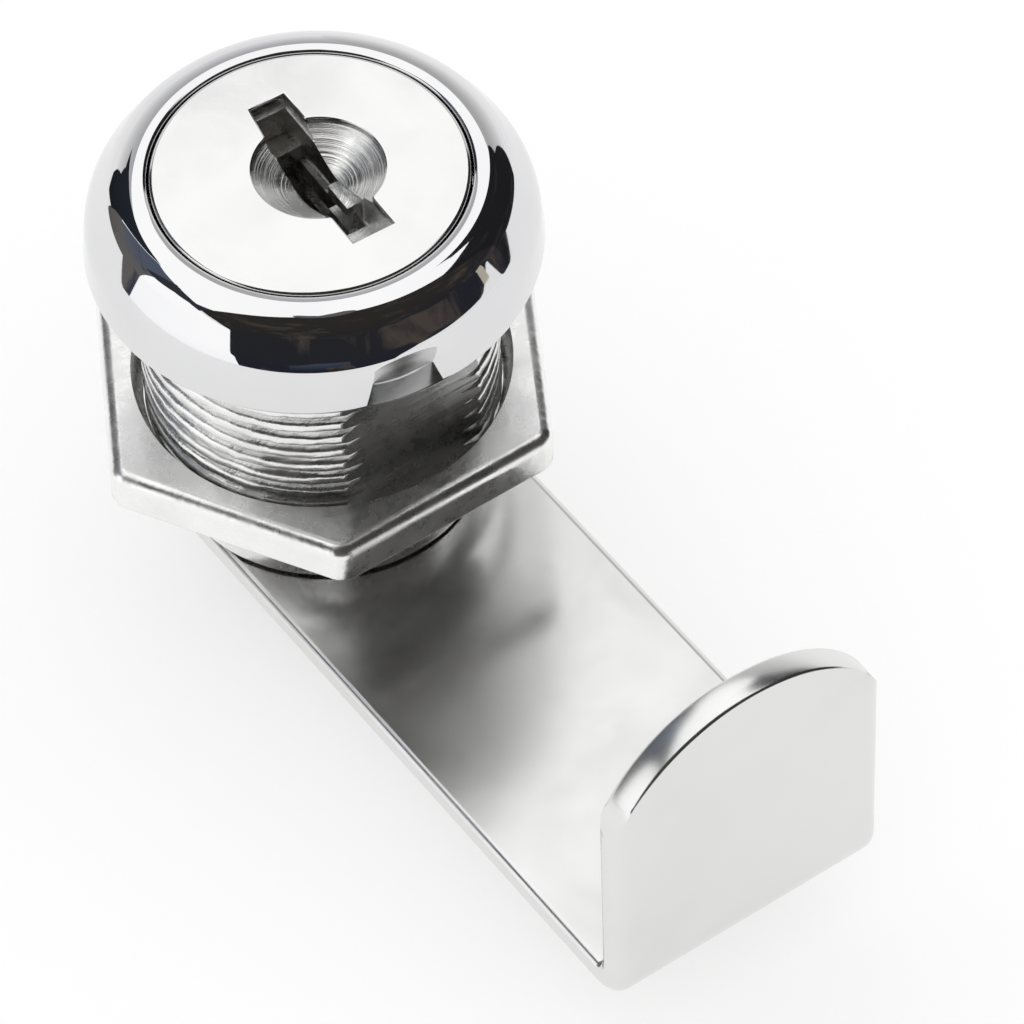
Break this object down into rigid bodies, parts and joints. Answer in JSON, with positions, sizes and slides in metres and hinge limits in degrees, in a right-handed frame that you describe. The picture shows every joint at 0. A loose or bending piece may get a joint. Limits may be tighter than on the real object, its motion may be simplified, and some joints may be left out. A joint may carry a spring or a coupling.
{
  "type": "cylinder lock",
  "caption": "Cam lock with a domed chrome head, a threaded barrel with two flats, a mounting nut and a hooked cam turned by a wafer plug.",
  "frame": {"origin": "on the lock's axis at the underside of the head, the face that seats on the panel", "axes": "+Z out of the lock's face along the barrel's axis, the hooked cam points along -Y, +X to the right of the face"},
  "size_m": [0.025, 0.047, 0.0269],
  "materials": {
    "chrome_casting": "mirror chrome",
    "plated_nut": "bright nickel plate",
    "turned_plug": "turned, plated",
    "polished_cap": "polished",
    "plated_cam": "bright nickel plate",
    "plated_steel": "zinc plate",
    "spring_steel": "bare",
    "wafer_plate": "stamped, nickel plated"
  },
  "bodies": {
    "housing": {"housing": "chrome_casting"},
    "nut": {"mounting_nut": "plated_nut"},
    "plug": {"plug": "turned_plug", "face_cap": "polished_cap", "snap_ring": "spring_steel", "stop_washer": "plated_steel", "cam": "plated_cam", "lock_washer": "spring_steel", "cam_screw": "plated_steel", "wafer_spring_1": "spring_steel", "wafer_spring_2": "spring_steel", "wafer_spring_3": "spring_steel", "wafer_spring_4": "spring_steel", "wafer_spring_5": "spring_steel", "wafer_spring_6": "spring_steel", "wafer_spring_7": "spring_steel"},
    "wafer_1": {"wafer_1": "wafer_plate"},
    "wafer_2": {"wafer_2": "wafer_plate"},
    "wafer_3": {"wafer_3": "wafer_plate"},
    "wafer_4": {"wafer_4": "wafer_plate"},
    "wafer_5": {"wafer_5": "wafer_plate"},
    "wafer_6": {"wafer_6": "wafer_plate"},
    "wafer_7": {"wafer_7": "wafer_plate"}
  },
  "joints": [
    {"name": "plug_turn", "type": "hinge", "parent": "housing", "child": "plug", "pos_m": [0, 0, 0], "axis": [0, 0, -1], "range_deg": [0, 90]},
    {"name": "nut_travel", "type": "slide", "parent": "housing", "child": "nut", "axis": [0, 0, 1], "range_m": [-0.0026, 0.008]},
    {"name": "wafer_1_lift", "type": "slide", "parent": "plug", "child": "wafer_1", "axis": [0, 1, 0], "range_m": [-0.0008, 0], "stiffness_N_per_m": 300, "springref_m": -0.0013, "deforming": ["wafer_spring_1"]},
    {"name": "wafer_2_lift", "type": "slide", "parent": "plug", "child": "wafer_2", "axis": [0, -1, 0], "range_m": [-0.0008, 0], "stiffness_N_per_m": 300, "springref_m": -0.0013, "deforming": ["wafer_spring_2"]},
    {"name": "wafer_3_lift", "type": "slide", "parent": "plug", "child": "wafer_3", "axis": [0, 1, 0], "range_m": [-0.0008, 0], "stiffness_N_per_m": 300, "springref_m": -0.0013, "deforming": ["wafer_spring_3"]},
    {"name": "wafer_4_lift", "type": "slide", "parent": "plug", "child": "wafer_4", "axis": [0, -1, 0], "range_m": [-0.0008, 0], "stiffness_N_per_m": 300, "springref_m": -0.0013, "deforming": ["wafer_spring_4"]},
    {"name": "wafer_5_lift", "type": "slide", "parent": "plug", "child": "wafer_5", "axis": [0, 1, 0], "range_m": [-0.0008, 0], "stiffness_N_per_m": 300, "springref_m": -0.0013, "deforming": ["wafer_spring_5"]},
    {"name": "wafer_6_lift", "type": "slide", "parent": "plug", "child": "wafer_6", "axis": [0, -1, 0], "range_m": [-0.0008, 0], "stiffness_N_per_m": 300, "springref_m": -0.0013, "deforming": ["wafer_spring_6"]},
    {"name": "wafer_7_lift", "type": "slide", "parent": "plug", "child": "wafer_7", "axis": [0, 1, 0], "range_m": [-0.0008, 0], "stiffness_N_per_m": 300, "springref_m": -0.0013, "deforming": ["wafer_spring_7"]}
  ]
}
